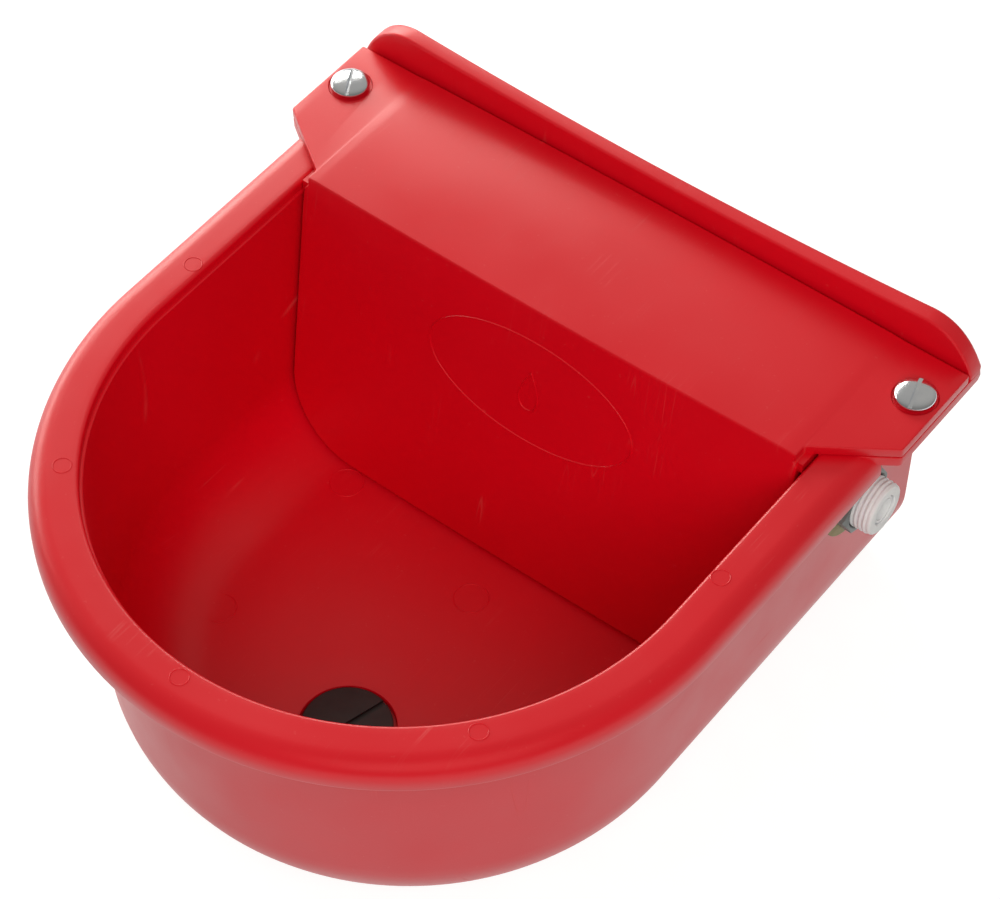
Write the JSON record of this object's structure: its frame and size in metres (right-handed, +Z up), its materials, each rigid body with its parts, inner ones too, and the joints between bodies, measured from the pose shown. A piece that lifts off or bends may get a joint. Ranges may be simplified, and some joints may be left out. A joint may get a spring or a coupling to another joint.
{
  "type": "livestock water trough",
  "caption": "Wall-hung D-shaped plastic drinking bowl for livestock with a rolled rim, screwed float cover, float valve, side water inlet and drain plug.",
  "frame": {"origin": "centre of the bounding box on the plane the bowl stands on", "axes": "+Z up, +Y towards the wall it hangs on, +X towards the water inlet"},
  "size_m": [0.274, 0.284, 0.1415],
  "materials": {
    "red_plastic": "semi-gloss moulded polyethylene",
    "zinc_steel": "bright zinc plate with a blue cast",
    "black_plastic": "satin moulded",
    "black_rubber": "matt",
    "white_nylon": "translucent natural nylon",
    "grey_plastic": "satin moulded",
    "tan_fibre": "matt pressed fibre",
    "brass": "turned",
    "float_plastic": "satin moulded"
  },
  "bodies": {
    "trough": {"trough_body": "red_plastic", "left_cover_nut": "zinc_steel", "right_cover_nut": "zinc_steel", "inlet_valve_body": "white_nylon", "inlet_lock_nut": "grey_plastic", "inlet_washer": "tan_fibre", "inlet_gasket": "black_rubber", "inlet_strainer": "white_nylon", "valve_seat": "brass", "pivot_pin": "brass", "pivot_clip": "zinc_steel"},
    "cover": {"float_cover": "red_plastic"},
    "left_washer": {"left_screw_washer": "zinc_steel"},
    "left_screw": {"left_cover_screw": "zinc_steel"},
    "right_washer": {"right_screw_washer": "zinc_steel"},
    "right_screw": {"right_cover_screw": "zinc_steel"},
    "drain_ring": {"drain_seal": "black_rubber"},
    "drain_stopper": {"drain_plug": "black_plastic"},
    "float_arm": {"float_lever": "white_nylon", "float_rod": "brass", "rod_nut": "brass", "float_cap": "float_plastic", "float_shell": "float_plastic"},
    "piston": {"valve_piston": "white_nylon", "piston_seal": "black_rubber"}
  },
  "joints": [
    {"name": "cover_lift", "type": "slide", "parent": "trough", "child": "cover", "axis": [0, 0, 1], "range_m": [0, 0.13]},
    {"name": "left_screw_lift", "type": "slide", "parent": "cover", "child": "left_washer", "axis": [0, 0, 1], "range_m": [0, 0.0061]},
    {"name": "left_screw_turn", "type": "hinge", "parent": "left_washer", "child": "left_screw", "pos_m": [-0.1272, 0.1135, 0.128], "axis": [0, 0, 1], "range_deg": [0, 2160]},
    {"name": "right_screw_lift", "type": "slide", "parent": "cover", "child": "right_washer", "axis": [0, 0, 1], "range_m": [0, 0.0061]},
    {"name": "right_screw_turn", "type": "hinge", "parent": "right_washer", "child": "right_screw", "pos_m": [0.1272, 0.1135, 0.128], "axis": [0, 0, 1], "range_deg": [0, 2160]},
    {"name": "drain_lift", "type": "slide", "parent": "trough", "child": "drain_ring", "axis": [0, 0, 1], "range_m": [0, 0.0061]},
    {"name": "drain_turn", "type": "hinge", "parent": "drain_ring", "child": "drain_stopper", "pos_m": [0, -0.0522, 0.005], "axis": [0, 0, 1], "range_deg": [0, 720]},
    {"name": "float_swing", "type": "hinge", "parent": "trough", "child": "float_arm", "pos_m": [0.085, 0.0965, 0.077], "axis": [0, 1, 0], "range_deg": [0, 24]},
    {"name": "piston_slide", "type": "slide", "parent": "trough", "child": "piston", "axis": [1, 0, 0], "range_m": [0, 0.0025]}
  ],
  "couplings": [
    {"joint": "left_screw_lift", "follows": "left_screw_turn", "m_per_rad": 0.00015915},
    {"joint": "right_screw_lift", "follows": "right_screw_turn", "m_per_rad": 0.00015915},
    {"joint": "drain_lift", "follows": "drain_turn", "m_per_rad": 0.00047746},
    {"joint": "piston_slide", "follows": "float_swing", "m_per_rad": 0.00573}
  ]
}
